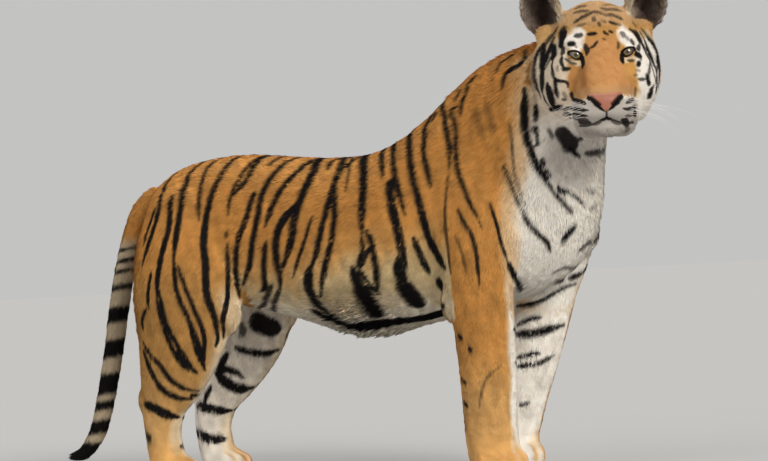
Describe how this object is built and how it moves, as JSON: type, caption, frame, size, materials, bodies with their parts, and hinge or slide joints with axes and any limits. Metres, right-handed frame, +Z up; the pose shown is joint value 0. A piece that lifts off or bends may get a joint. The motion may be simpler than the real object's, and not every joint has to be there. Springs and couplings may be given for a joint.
{
  "type": "bengal tiger",
  "caption": "Life-size still model of a standing Bengal tiger, head raised and turned to its right, tail hanging; stands on flat paw soles.",
  "frame": {"origin": "bottom centre of the bounding box, on the floor between the paws", "axes": "+X the way the body heads, +Y its left side, +Z up"},
  "size_m": [1.9122, 0.5228, 1.1762],
  "materials": {
    "coat": "short fur, orange above and white below with black stripes",
    "ear_coat": "short fur, black behind with a white spot, pale inside",
    "eye": "wet-looking amber eye with a round black pupil"
  },
  "bodies": {
    "root": {"head": "coat", "neck": "coat", "trunk": "coat", "ear_left": "ear_coat", "ear_right": "ear_coat", "eye_left": "eye", "eye_right": "eye", "upper_arm_left": "coat", "upper_arm_right": "coat", "forearm_left": "coat", "forearm_right": "coat", "forepaw_left": "coat", "forepaw_right": "coat", "thigh_left": "coat", "thigh_right": "coat", "shank_left": "coat", "shank_right": "coat", "hindpaw_left": "coat", "hindpaw_right": "coat", "tail_base": "coat", "tail_middle": "coat", "tail_tip": "coat"}
  },
  "joints": []
}
